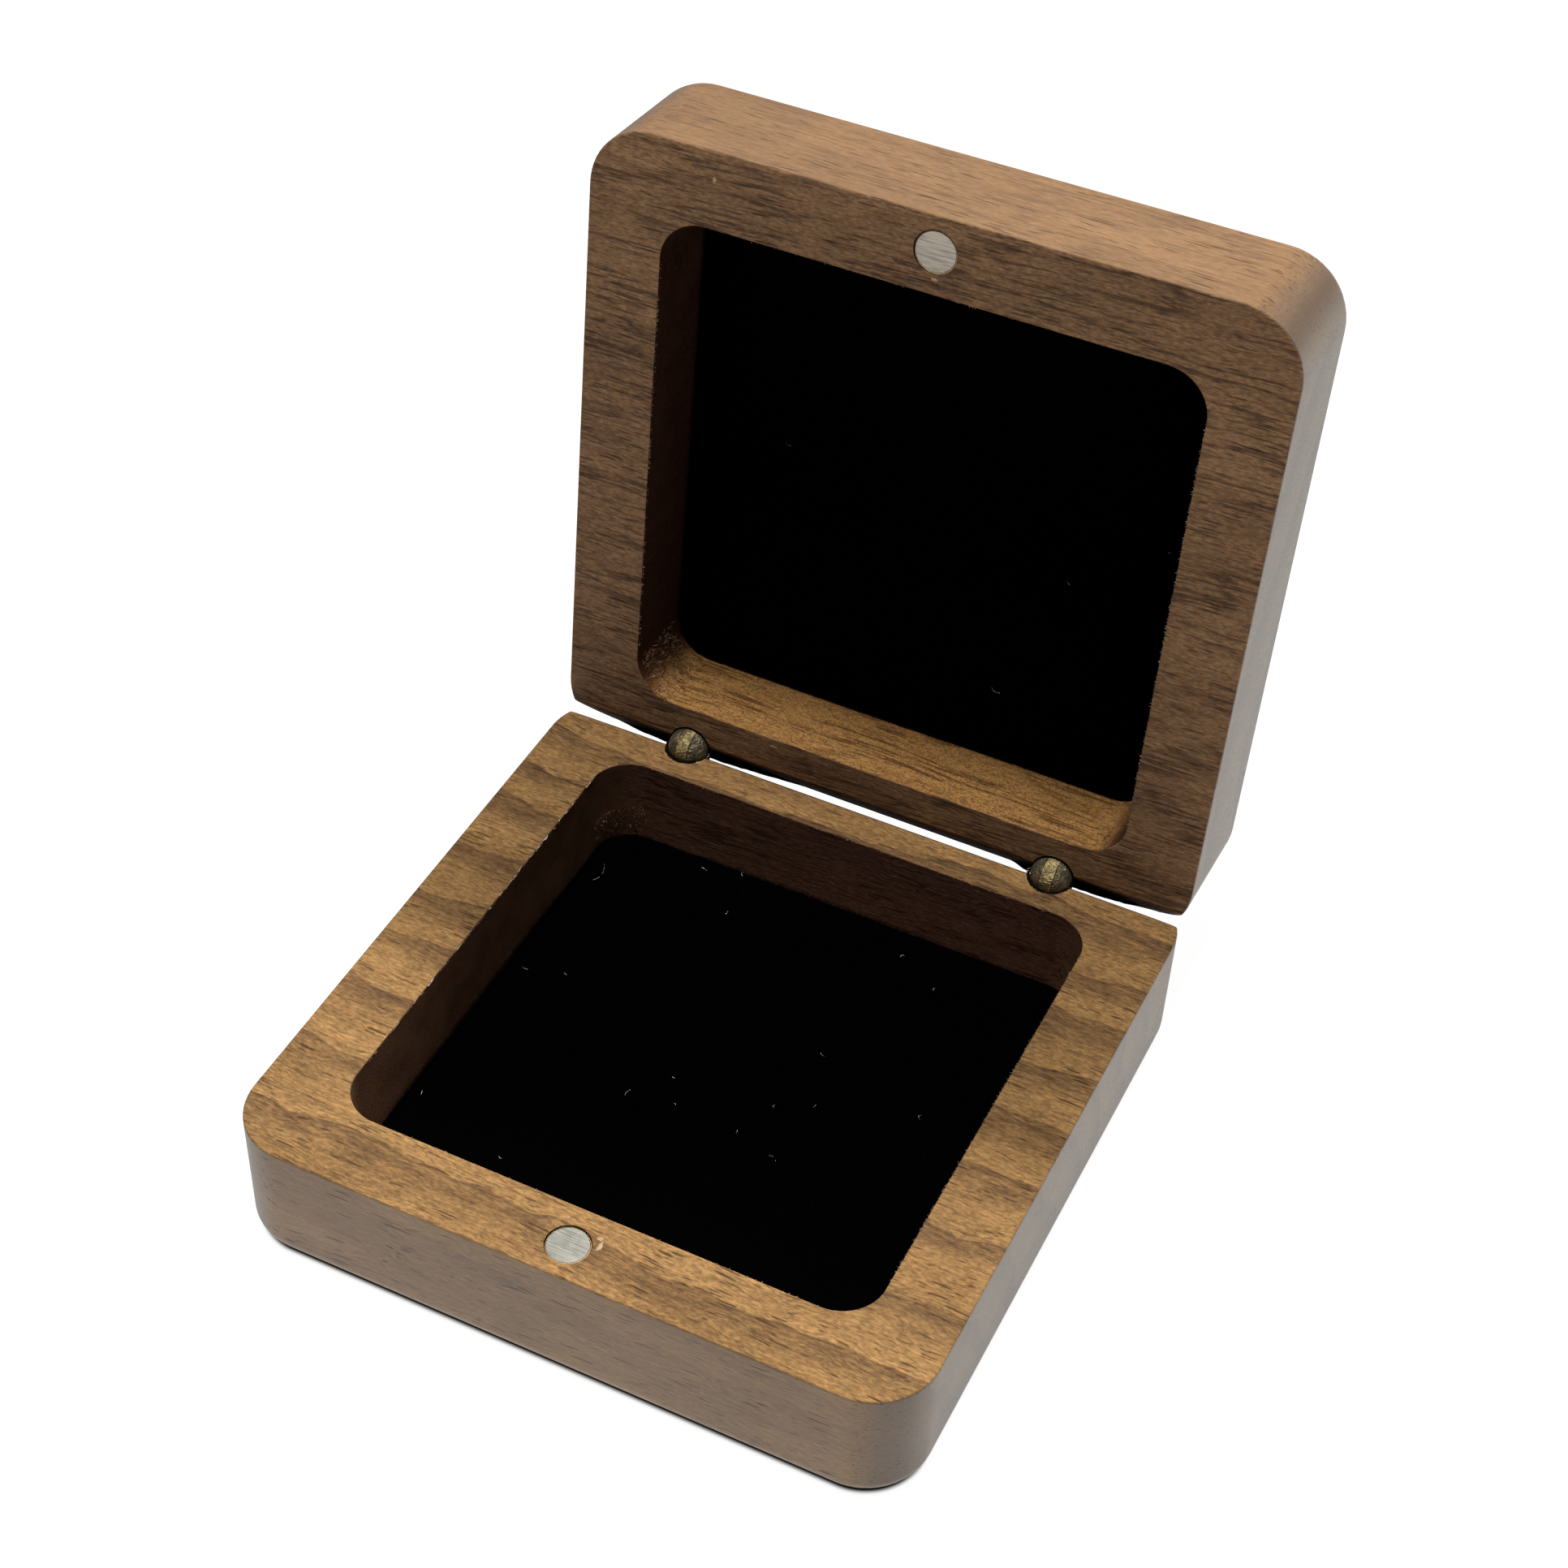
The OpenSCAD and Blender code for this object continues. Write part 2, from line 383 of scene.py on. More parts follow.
def wood_marks(tree, place, figure):
    """The marks that colour, roughness and bump share.

    Fibre, thread, patch and crumb are noises stretched along x. The pores are cells of two sizes, crowded
    where a noise is high, and the lines are kept where another is.
    """
    crowd = span(tree, grain(tree, place, 12, 3), 0.35, 0.60, 0.45, 1.0)
    long_pores = pores(tree, place, 7.0, 0.52, 0.25, figure["pores"])
    short_pores = times(tree, pores(tree, place, 3.6, 0.32, 0.25, figure["pores"]), 0.8)
    lines = dark_lines(tree, place, 22, 0.85, figure["line_width"])
    return SimpleNamespace(
        fibre=grain(tree, place, 9, 0.45, 4, 0.6),
        thread=grain(tree, place, 3, 0.16, 3, 0.6),
        patch=grain(tree, place, 16, 5, 3),
        crumb=grain(tree, place, 1.0, 0.34, 4, 0.7),
        rings=ring_shade(tree, place, figure["pitch"], figure["heart"]),
        pore=times(tree, maths(tree, "MAXIMUM", long_pores, short_pores), crowd),
        line=times(tree, lines, span(tree, grain(tree, place, 8, 3.0), 0.40, 0.55)))


def plain_wood(tree, place, marks, tint, look, figure):
    """Mid to pale by three marks, darkened by rings, threads, lines and pores, times a fine fleck."""
    tone = maths(tree, "MULTIPLY_ADD", span(tree, marks.fibre, 0.3, 0.7), 0.26,
                 maths(tree, "MULTIPLY_ADD", span(tree, marks.patch, 0.35, 0.65), 0.30,
                       times(tree, span(tree, marks.crumb, 0.36, 0.66), 0.44)))
    colour = mix(tree, tone, tint["mid"], tint["pale"])
    for mark, share, darker in ((marks.rings, figure["rings"] * look["rings"], DARK),
                                (span(tree, marks.thread, 0.52, 0.72), 0.30, DARK),
                                (marks.line, figure["lines"] * look["line"], PORE_COLOUR),
                                (marks.pore, look["pore"], PORE_COLOUR)):
        colour = mix(tree, times(tree, mark, share), colour, darker)
    speck = grain(tree, place, 0.75, 0.26, 2, 0.6)
    fleck = span(tree, speck, 0.36, 0.64, 1 - look["fleck"], 1 + look["fleck"])
    grey = put(tree, "CombineXYZ", {0: fleck, 1: fleck, 2: fleck}).outputs[0]
    return mix(tree, 1.0, colour, grey, "MULTIPLY")


print("planks:", {"lid" if lid else "base": figure["pitch"] for lid, figure in FIGURES.items()}, "mm a ring")

# %% [markdown]
# The same wood looks different by how it was worked. Outside it is sanded and oiled, with a satin gloss,
# and on the two ends it shows arcs and dots under a painted grey reflection of the bright paper. The lid's
# outside is darkened by painted shade, and the base's foot by a painted shade line. The pocket's walls are
# milled: the long-grain ones are golden with tiny torn fibres, and the end-grain ones are darker, in the lid
# nearly black with painted shade. Each change is one blend whose share depends on the place in the block.

# %% Colours of the sanded outside and the milled pocket
PAINTED_SHADE_BROWN, BURNT = (0.012, 0.007, 0.005, 1), (0.060, 0.026, 0.010, 1)
PAINTED_END_SHEEN = {False: ((0.120, 0.095, 0.062, 1), (0.190, 0.150, 0.100, 1)),
            True: ((0.260, 0.220, 0.160, 1), (0.260, 0.220, 0.160, 1))}
END_GRAIN_AND_SHADE = {False: ((0.155, 0.078, 0.041, 1), (0.210, 0.112, 0.062, 1)),
            True: ((0.018, 0.005, 0.004, 1), (0.024, 0.007, 0.005, 1))}
MILLED = {False: ((0.300, 0.115, 0.130, 1), (0.180, 0.068, 0.085, 1), 0.35),
          True: ((0.500, 0.250, 0.060, 1), (0.130, 0.058, 0.016, 1), 0.60)}


def outer_colour(tree, colour, block, at, beside, marks, lid):
    """Darker oiled wood, painted shade on the lid and at the foot, a painted grey reflection at the ends,
    dark corners and end marks.
    """
    if lid:
        # Painted shade: the lid's outside is darkened, more at its left end than at its right.
        colour = mix(tree, span(tree, at[0], -35, 35, 0.40, 0.20), colour, DARK)
        colour = mix(tree, 1.0, colour, (1.02, 0.99, 0.84, 1), "MULTIPLY")
    else:
        colour = mix(tree, 0.10, colour, DARK)
    # Painted reflection: towards the ends the outside turns grey, as the bright paper shows in it. On the
    # base it is darker low down, which is painted shade.
    grey = mix(tree, span(tree, at[2], 4.0, 8.0), *PAINTED_END_SHEEN[lid])
    colour = mix(tree, span(tree, beside, 34.0, 39.7, 0.0, 0.60, soft=True), colour, grey)
    sides = (beside, maths(tree, "ABSOLUTE", at[1]))
    corner = times(tree, *(span(tree, side, 33.5, 37.5, soft=True) for side in sides))
    colour = mix(tree, times(tree, corner, 0.65 if lid else 0.45), colour, DARK)
    if not lid:
        # Painted shade at the foot: the lowest millimetre of the base's outside turns nearly black.
        foot = times(tree, span(tree, at[2], 1.1, 0.6), span(tree, at[2], 0.05, 0.2))
        colour = mix(tree, times(tree, foot, 0.8), colour, PAINTED_SHADE_BROWN)
    on_end = span(tree, beside, 39.5, 39.8)
    dots = span(tree, noise(tree, block, 2.6, 3, 0.7), 0.48, 0.66, 0.0, 0.30)
    arcs = maths(tree, "MULTIPLY_ADD", marks.rings, 0.30, dots)
    for mark in (arcs, pores(tree, block, 2.6, 2.6, 0.10, 0.10)):
        colour = mix(tree, times(tree, mark, on_end), colour, DARK)
    return colour


def pocket_colour(tree, colour, place, beside, marks, lid):
    """Torn fibres as a warped noise, burnt lines, and end grain where |x| nears the end walls, in the lid
    nearly black: painted shade.
    """
    bright, dull, share = MILLED[lid]
    worm = span(tree, grain(tree, place, 0.75, 0.32, 1, 0.5, 2.5), 0.42, 0.60)
    colour = mix(tree, share, colour, mix(tree, worm, bright, dull))
    colour = mix(tree, times(tree, marks.line, 0.7), colour, BURNT)
    # End grain is darker. In the lid it is nearly black, and that is painted shade.
    end_grain = mix(tree, span(tree, marks.patch, 0.4, 0.6), *END_GRAIN_AND_SHADE[lid])
    return mix(tree, span(tree, beside, 27.5, 30.6, 0.0, 0.92, soft=True), colour, end_grain)


print("share of milled fibre, base and lid:", MILLED[False][2], MILLED[True][2])

# %% [markdown]
# So each half gets three finishes from one function: sanded outside, sawn and matte on the mating face,
# and milled in the pocket. They share the grain and differ in colour, gloss and relief. The figure waves
# a little, because its coordinates are pushed across the grain by a slow noise.

# %% The wood finish
LOOKS = {"outer": {"specular": (0.43, 0.40), "gloss": 0.32, "pore": 0.75, "relief": 0.4, "rings": 0.35,
                   "fleck": 0.08, "line": 0.55},
         "rim": {"specular": (0.12, 0.12), "gloss": 0.70, "pore": 0.70, "relief": 1.0, "rings": 1.0,
                 "fleck": 0.26, "line": 1.0},
         "pocket": {"specular": (0.06, 0.06), "gloss": 0.85, "pore": 0.55, "relief": 1.0, "rings": 0.5,
                    "fleck": 0.34, "line": 1.0}}
WALNUT_IOR = 1.56
RELIEF_HEIGHT = 0.0001


def walnut(lid, part):
    """Wood as a function of the place in the block, for one part of one half."""
    look, figure = LOOKS[part], FIGURES[lid]
    name = f"walnut_{'lid' if lid else 'base'}_{part}"
    finish, tree, shader = new_finish(name, look["specular"][lid], WALNUT_IOR)
    block = block_place(tree, lid)
    straight = stretch(tree, block, (1, 1, 1), place=(figure["seed"], 0, 0), turn=(0.0, 0.03, 0.02))
    wave = times(tree, grain(tree, straight, 13, 6), figure["wave"])
    push = put(tree, "CombineXYZ", {1: wave, 2: wave}).outputs[0]
    place = vector_maths(tree, "ADD", straight, push)
    marks = wood_marks(tree, place, figure)
    colour = plain_wood(tree, place, marks, TINTS[lid], look, figure)
    at = put(tree, "SeparateXYZ", {0: block}).outputs
    beside = maths(tree, "ABSOLUTE", at[0])
    rough = maths(tree, "MULTIPLY_ADD", marks.crumb, 0.12,
                  maths(tree, "MULTIPLY_ADD", marks.pore, 0.15, look["gloss"]))
    if part == "rim":
        # Painted shade: below the rim's level, on the rear bevels and in the small holes, the wood turns
        # nearly black.
        colour = mix(tree, span(tree, at[2], 16.35, 15.9, 0.0, 0.9), colour, PAINTED_SHADE_BROWN)
    elif part == "pocket":
        colour = pocket_colour(tree, colour, place, beside, marks, lid)
    else:
        colour = outer_colour(tree, colour, block, at, beside, marks, lid)
        if lid:
            rough = maths(tree, "ADD", rough, span(tree, at[1], -37.0, -39.8, 0.0, 0.5, soft=True))
    relief = maths(tree, "MULTIPLY_ADD", marks.pore, -1.0,
                   maths(tree, "MULTIPLY_ADD", marks.thread, 0.4, times(tree, marks.crumb, 1.2)))
    give(tree, shader, colour, rough, relief, look["relief"], RELIEF_HEIGHT)
    return finish


base_wood, lid_wood = ([walnut(lid, part) for part in LOOKS] for lid in (False, True))
print("wood finishes:", [finish.name for finish in base_wood + lid_wood])

# %% [markdown]
# A real block has no razor edges: sanding takes a fraction of a millimetre off each, and that thin rim
# catches the light. The CAD solid is the right shape, so each half is a merged copy of its mesh with a
# small Bevel on every sharp edge. The copy replaces the node, which stays for the physics. Each face's
# place in the block then says which of the three finishes it gets.

# %% Merged copies with eased edges
def merged_mesh(node, name, weigh, sharp=30):
    """The node's triangles merged, with flat neighbours joined into one face, as a new mesh.

    Every edge whose faces turn by more than sharp degrees is weighed, so that Bevel finds it.
    """
    work = bmesh.new()
    work.from_mesh(nodes[node].data)
    bmesh.ops.remove_doubles(work, verts=work.verts, dist=2e-6)
    bmesh.ops.dissolve_limit(work, angle_limit=math.radians(0.5), verts=work.verts, edges=work.edges)
    work.verts.index_update()
    corners = {frozenset(v.index for v in e.verts): e.calc_face_angle(0) for e in work.edges}
    mesh = bpy.data.meshes.new(name)
    mesh.from_pydata([v.co[:] for v in work.verts], [], [[v.index for v in f.verts] for f in work.faces])
    work.free()
    turns = np.array([corners[frozenset(e.vertices)] for e in mesh.edges])
    ends = np.array([[mesh.vertices[i].co[:] for i in e.vertices] for e in mesh.edges])
    weights = np.where(turns > math.radians(sharp), weigh(ends.mean(1) / MM), 0.0)
    weight = mesh.attributes.new("bevel_weight_edge", "FLOAT", "EDGE")
    weight.data.foreach_set("value", weights.astype(np.float32))
    mesh.shade_smooth()
    return mesh


def eased_copy(node, name, body, finishes, width, weigh=lambda middles: 1.0):
    """A merged copy of a CAD node whose sharp edges are rounded by width millimetres times their weight."""
    mesh = merged_mesh(node, name, weigh)
    for finish in finishes:
        mesh.materials.append(finish)
    piece = bpy.data.objects.new(name, mesh)
    bpy.context.scene.collection.objects.link(piece)
    ease = piece.modifiers.new("eased_edges", "BEVEL")
    ease.width = width * MM
    ease.segments = 2
    ease.limit_method = "WEIGHT"
    ease.miter_outer = "MITER_ARC"
    ease.use_clamp_overlap = True
    ease.harden_normals = True
    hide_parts(node)
    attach(piece, body)
    print(name, len(mesh.vertices), "vertices before easing")
    return piece


def face_places(mesh, body):
    """The centre and normal of each face in the lower half's coordinates, as two arrays."""
    centres, normals = np.empty((2, len(mesh.polygons), 3))
    mesh.polygons.foreach_get("center", centres.ravel())
    mesh.polygons.foreach_get("normal", normals.ravel())
    back = np.linalg.inv(TO_WORLD[body])
    return np.c_[centres / MM, np.ones(len(centres))] @ back.T[:, :3], normals @ back[:3, :3].T


def sort_faces(mesh, body):
    """0 outside, 1 on the mating face, the rear bevel and in the small holes, 2 in the pocket."""
    centres, normals = face_places(mesh, body)
    x, y, z = np.abs(centres[:, 0]), centres[:, 1], centres[:, 2]
    in_pocket = (x < POCKET_HALF + 0.1) & (np.abs(y) < POCKET_HALF + 0.1) & (z > 3.9) & (z < 16.4)
    near_hinge = (np.hypot(x - HINGE_X, y - PIN_Y) < HOLE_REACH) & (z > 5)
    near_disc = (np.hypot(x, y - DISC_Y) < HOLE_REACH) & (z > 12)
    kind = np.where((normals[:, 2] > 0.3) | near_hinge | near_disc, 1, 0)
    kind[in_pocket] = 2
    mesh.polygons.foreach_set("material_index", kind.astype(np.int32))
    print(mesh.name, "faces outside, mating, pocket:", np.bincount(kind, minlength=3))


def crisp_holes(body):
    """A weight for edge middles: small round the hinge and disc holes, medium at the pocket's mouth."""
    def weigh(middles):
        place = np.c_[middles, np.ones(len(middles))] @ np.linalg.inv(TO_WORLD[body]).T
        x, y = np.abs(place[:, 0]), place[:, 1]
        hole = (np.hypot(x - HINGE_X, y - PIN_Y) < HOLE_REACH) | (np.hypot(x, y - DISC_Y) < HOLE_REACH)
        mouth = (x < POCKET_HALF + 0.1) & (np.abs(y) < POCKET_HALF + 0.1)
        return np.where(hole, 0.2, np.where(mouth, 0.6, 1.0))
    return weigh


HINGE_X = 23.5
DISC_Y = -35.9
HOLE_REACH = 2.8
EASED = 0.25
for body, finishes in (("base", base_wood), ("lid", lid_wood)):
    block = eased_copy(body + "_shell", body + "_block", body, finishes, EASED, crisp_holes(body))
    sort_faces(block.data, body)

# %% [markdown]
# The pads are card covered with black flock: short nylon fibres standing on glue. They swallow nearly all
# light. A pad is a stack of rounded squares: flat below, upright at the side, round at the cut edge and
# very slightly uneven on top. Each ring of the stack is one loop of the surface, so two parameters, the
# place round the loop and the place along the profile, give every point.

# %% Surfaces from loops
def rounded_square(count, half, radius):
    """Points round a square of half-width half whose corners are quarter circles of the radius.

    The loop is walked by its own length, and each point is its nearest corner centre plus the radius
    along the outward direction, or lies on the straight between two corners.
    """
    straight = 2 * (half - radius)
    quarter = math.pi / 2 * radius
    along = np.linspace(0, 4 * (straight + quarter), count, endpoint=False)
    side, rest = np.divmod(along, straight + quarter)
    turn = np.clip(rest - straight, 0, None) / max(radius, 1e-9)
    step = np.minimum(rest, straight)
    x = half - radius + radius * np.cos(turn)
    y = -(half - radius) + step + radius * np.sin(turn)
    angle = side * math.pi / 2
    return np.stack([x * np.cos(angle) - y * np.sin(angle), x * np.sin(angle) + y * np.cos(angle)], 1)


def new_piece(name, body, finish, points, faces):
    """A smooth mesh object from millimetre points of the lower half, carried to its body's place.

    Its faces are turned outwards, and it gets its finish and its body.
    """
    placed = np.c_[points, np.ones(len(points))] @ TO_WORLD[body].T
    mesh = bpy.data.meshes.new(name)
    mesh.from_pydata((placed[:, :3] * MM).tolist(), [], faces)
    work = bmesh.new()
    work.from_mesh(mesh)
    bmesh.ops.recalc_face_normals(work, faces=work.faces)
    work.to_mesh(mesh)
    work.free()
    mesh.shade_smooth()
    mesh.materials.append(finish)
    piece = bpy.data.objects.new(name, mesh)
    bpy.context.scene.collection.objects.link(piece)
    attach(piece, body)
    return piece


def loft(rings):
    """Points and faces of a closed surface from an array of rings (loops, points, 3), capped by two poles."""
    loops, count, _ = rings.shape
    points = np.concatenate([rings.reshape(-1, 3), rings[:1].mean(1), rings[-1:].mean(1)])
    low = np.arange(loops - 1)[:, None] * count + np.arange(count)
    high = low + count
    quads = np.stack([low, np.roll(low, -1, 1), np.roll(high, -1, 1), high], 2).reshape(-1, 4).tolist()
    first = np.arange(count)
    last = first + (loops - 1) * count
    start = np.stack([np.roll(first, -1), first, np.full(count, loops * count)], 1).tolist()
    end = np.stack([last, np.roll(last, -1), np.full(count, loops * count + 1)], 1).tolist()
    return points, quads + start + end


def smooth_field(points, seed, lengths, heights):
    """A gentle uneven surface: a sum of sine waves of random direction and phase for each length."""
    random = np.random.default_rng(seed)
    total = np.zeros(len(points))
    for length, height in zip(lengths, heights):
        angle, phase = random.uniform(0, 2 * np.pi, (2, 8))
        wave = points[:, :1] * np.cos(angle) + points[:, 1:2] * np.sin(angle)
        total += height / 8 * np.sin(2 * np.pi * wave / length + phase).sum(1)
    return total


def pad_surface(floor_z, thickness, seed):
    """A pad as rings: out along its underside, up its side, round the cut edge and in over the top."""
    half, radius, edge = POCKET_HALF - 0.15, POCKET_RADIUS - 0.15, 0.5
    arc = np.linspace(0, math.pi / 2, 7)
    inset = np.concatenate([[20, 8, 1, 0.05], edge * (1 - np.cos(arc)), np.linspace(1, 30, 59)])
    height = np.concatenate([[0, 0, 0, 0.05], thickness - edge + edge * np.sin(arc), np.full(59, thickness)])
    rings = []
    for pull, z in zip(inset, height):
        loop = rounded_square(480, half - pull, max(radius - pull, 0.05 * (half - pull)))
        rings.append(np.c_[loop, np.full(len(loop), z)])
    rings = np.array(rings)
    flat = rings.reshape(-1, 3)
    raised = np.clip(flat[:, 2] / thickness, 0, 1) ** 2
    flat[:, 2] += raised * smooth_field(flat, seed, (30, 9, 2.2, 1.1), (0.12, 0.05, 0.05, 0.035))
    reach = np.abs(flat[:, :2]).max(1) / half
    ragged = np.clip((reach - 0.97) / 0.03, 0, 1) * raised
    random = np.random.default_rng(seed + 1)
    flat[:, :2] *= (1 - ragged * random.uniform(0, 0.006, len(flat)))[:, None]
    flat[:, 2] += floor_z
    return loft(rings)


FLOOR_Z = HALF_HEIGHT - POCKET_DEPTH
BASE_PAD, LID_PAD = 1.3, 2.3
print("pocket floor at", FLOOR_Z, "mm, pads", BASE_PAD, "and", LID_PAD, "mm thick")

# %% [markdown]
# Flock shows hardly any colour, only the loss of light. So the finish is close to black, and two noises
# lift some tufts to a very dark grey. A faint sheen at grazing angles tells the eye that cloth is there.
# Each finished pad replaces its CAD node.

# %% Velvet finish
def black_velvet():
    """Nearly black pile: noise lifts a few tufts from black to dark grey, with a faint constant sheen."""
    finish, tree, shader = new_finish("black_velvet", 0.0)
    place = place_mm(tree)
    tuft = noise(tree, place, 3.5, 4, 0.7)
    cloud = noise(tree, place, 0.09, 3)
    lift = times(tree, span(tree, tuft, 0.56, 0.8), span(tree, cloud, 0.45, 0.75, 0.15, 1.0))
    colour = mix(tree, lift, (0.0004, 0.0004, 0.00045, 1), (0.0035, 0.0035, 0.0042, 1))
    give(tree, shader, colour, 1.0, tuft, 0.6, 0.0002)
    shader.inputs["Sheen Weight"].default_value = 0.004
    shader.inputs["Sheen Roughness"].default_value = 0.5
    return finish


velvet = black_velvet()


def velvet_pad(body, thickness, seed):
    """One pad: the surface above, carried to its half."""
    points, faces = pad_surface(FLOOR_Z, thickness, seed)
    pad = new_piece(body + "_velvet_pad", body, velvet, points, faces)
    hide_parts(body + "_velvet")
    print(pad.name, len(faces), "faces")


velvet_pad("base", BASE_PAD, 3)
velvet_pad("lid", LID_PAD, 8)

# %% [markdown]
# Fine hairs make cloth and raw wood believable: the pile of the flock, threads of glue, splinters at the
# pockets' mouths and a few pale lint hairs. Each is a thin three-sided tube along a short path, open
# nowhere. All tubes of one kind are worked out as one array and make one mesh.

# %% Thousands of hairs as one surface
def sweep(paths, radii):
    """Points and faces of thin closed tubes.

    paths is (tubes, steps, 3) and radii is (tubes, steps). Round each path point stand three points, the
    radius away, at thirds of a turn in the plane across the tube's overall direction.
    """
    tubes, steps, _ = paths.shape
    ahead = paths[:, -1] - paths[:, 0]
    ahead /= np.linalg.norm(ahead, axis=1)[:, None]
    helper = np.where(np.abs(ahead[:, 2:]) < 0.8, [[0, 0, 1.0]], [[1.0, 0, 0]])
    first = np.cross(ahead, helper)
    first /= np.linalg.norm(first, axis=1)[:, None]
    second = np.cross(ahead, first)
    turn = np.arange(3) * 2 * np.pi / 3
    around = first[:, None] * np.cos(turn)[:, None] + second[:, None] * np.sin(turn)[:, None]
    points = paths[:, :, None] + around[:, None] * radii[:, :, None, None]
    start = (np.arange(tubes)[:, None] * steps + np.arange(steps - 1)).reshape(-1, 1) * 3
    low = start + np.arange(3)
    quads = np.stack([low, np.roll(low, -1, 1), np.roll(low, -1, 1) + 3, low + 3], 2).reshape(-1, 4)
    root = np.arange(tubes)[:, None] * steps * 3
    caps = np.concatenate([root + [2, 1, 0], root + (steps - 1) * 3 + [0, 1, 2]])
    return points.reshape(-1, 3), quads.tolist() + caps.tolist()


def bent_paths(roots, ahead, lengths, sag, steps=4):
    """From each root along ahead, with the middle of the path pushed sideways by sag times its length."""
    along = np.linspace(0, 1, steps)[None, :, None]
    side = np.cross(ahead, [0.3, 0.5, 0.81])
    bow = 4 * along * (1 - along) * sag[:, None, None]
    return roots[:, None] + lengths[:, None, None] * (along * ahead[:, None] + bow * side[:, None])


def scattered(random, count, lean):
    """Unit directions that lean away from straight up by up to lean."""
    flat = random.normal(0, lean, (count, 2))
    ahead = np.c_[flat, np.ones(count)]
    return ahead / np.linalg.norm(ahead, axis=1)[:, None]


def hairs(name, body, finish, roots, ahead, lengths, radius, sag, steps=4):
    """One mesh of tapered hairs, dressed and riding on its body."""
    taper = np.linspace(1, 0.25, steps)
    points, faces = sweep(bent_paths(roots, ahead, lengths, sag, steps), radius[:, None] * taper)
    new_piece(name, body, finish, points, faces)
    print(name, len(roots), "hairs")


# %% [markdown]
# The pile stands all over each pad and a little thicker at its edge, where the knife has freed the fibres.

# %% Pile of the flock
def pile(body, thickness, seed):
    """Short black hairs: two thirds spread over the pad, one third along its edge."""
    random = np.random.default_rng(seed)
    spread, edge = 5200, 2600
    reach = POCKET_HALF - 1.0
    inner = np.c_[random.uniform(-reach, reach, (spread, 2)), np.full(spread, thickness - 0.12)]
    loop = rounded_square(edge, POCKET_HALF - 0.55, POCKET_RADIUS - 0.55)
    outer = np.c_[loop, np.full(edge, thickness - 0.25)]
    outward = loop / np.linalg.norm(loop, axis=1)[:, None]
    ahead = scattered(random, spread + edge, 0.45)
    ahead[spread:, :2] += 0.25 * outward
    lengths = np.concatenate([random.uniform(0.25, 0.5, spread), random.uniform(0.35, 0.8, edge)])
    roots = np.concatenate([inner, outer]) + [0, 0, FLOOR_Z]
    radius = random.uniform(0.018, 0.032, spread + edge)
    hairs(body + "_pile", body, velvet, roots, ahead, lengths, radius,
          random.uniform(-0.2, 0.2, spread + edge), 3)


pile("base", BASE_PAD, 21)
pile("lid", LID_PAD, 22)

# %% [markdown]
# The metal parts are small and worn. The discs are nickel-plated, with scratches from many closings. The
# barrels are brass that has gone brown and dull in the recesses and stayed golden where it is rubbed.

# %% Metal finishes
def scratched_nickel(name, lid, clean, worn, turn):
    """Plated nickel: long scratches are a noise stretched across the disc, and they dull and dent it."""
    finish, tree, shader = new_finish(name, 0.5, metallic=1.0)
    place = block_place(tree, lid)
    slant = stretch(tree, place, (0.35, 6.0, 1.0), turn=(0, 0, turn))
    scratch = noise(tree, slant, 1.0, 3, 0.6)
    dull = span(tree, scratch, 0.42, 0.62)
    worn_rough = maths(tree, "MULTIPLY_ADD", dull, 0.08, 0.20)
    rough = maths(tree, "MULTIPLY_ADD", noise(tree, place, 0.8), 0.08, worn_rough)
    give(tree, shader, mix(tree, dull, clean, worn), rough, scratch, 0.3, 0.00002)
    return finish


def aged_brass(name, film_colour, bare_colour):
    """Brass whose brown film is a cloud noise, thicker where the noise is low, with small dents."""
    finish, tree, shader = new_finish(name, 0.5, metallic=1.0)
    place = place_mm(tree)
    film = noise(tree, place, 0.9, 4, 0.6)
    dent = noise(tree, stretch(tree, place, (0.5, 1, 1)), 3.5, 3, 0.6)
    colour = mix(tree, span(tree, film, 0.38, 0.62), film_colour, bare_colour)
    give(tree, shader, colour, span(tree, film, 0.3, 0.7, 0.62, 0.42), dent, 1.0, 0.0003)
    return finish


def brushed_steel():
    """Drawn wire: fine noise stretched along x."""
    finish, tree, shader = new_finish("pin_steel", 0.5, metallic=1.0)
    drawn = noise(tree, stretch(tree, place_mm(tree), (0.3, 12, 12)), 1.0)
    colour = mix(tree, drawn, (0.35, 0.34, 0.32, 1), (0.55, 0.54, 0.52, 1))
    give(tree, shader, colour, span(tree, drawn, 0.2, 0.8, 0.25, 0.45))
    return finish


brass = {"base": aged_brass("brown_brass", (0.13, 0.11, 0.08, 1), (0.30, 0.25, 0.15, 1)),
         "lid": aged_brass("golden_brass", (0.22, 0.17, 0.09, 1), (0.48, 0.38, 0.17, 1))}
steel = brushed_steel()
base_nickel = scratched_nickel("nickel_base", False, (0.35, 0.345, 0.295, 1), (0.29, 0.28, 0.235, 1), 0.12)
lid_nickel = scratched_nickel("nickel_lid", True, (0.34, 0.30, 0.25, 1), (0.22, 0.19, 0.16, 1), 0.6)
for node, finish in (("base_magnet", base_nickel), ("lid_magnet", lid_nickel),
                     ("left_hinge_pin", steel), ("right_hinge_pin", steel)):
    nodes[node].data.materials.clear()
    nodes[node].data.materials.append(finish)
for side in ("left", "right"):
    for body in ("base", "lid"):
        eased_copy(f"{side}_{body}_barrel", f"{side}_{body}_knuckle", body, [brass[body]], 0.06)
print("dressed: discs, barrels, pins")

# %% [markdown]
# The small signs of handwork come last. Glue has crept out round the discs and dried as a thin uneven ring
# and a few dabs, and round each disc the wood stands up in a low collar. A ring is a small section carried
# round a circle, and a dab is a low dome with an uneven outline.

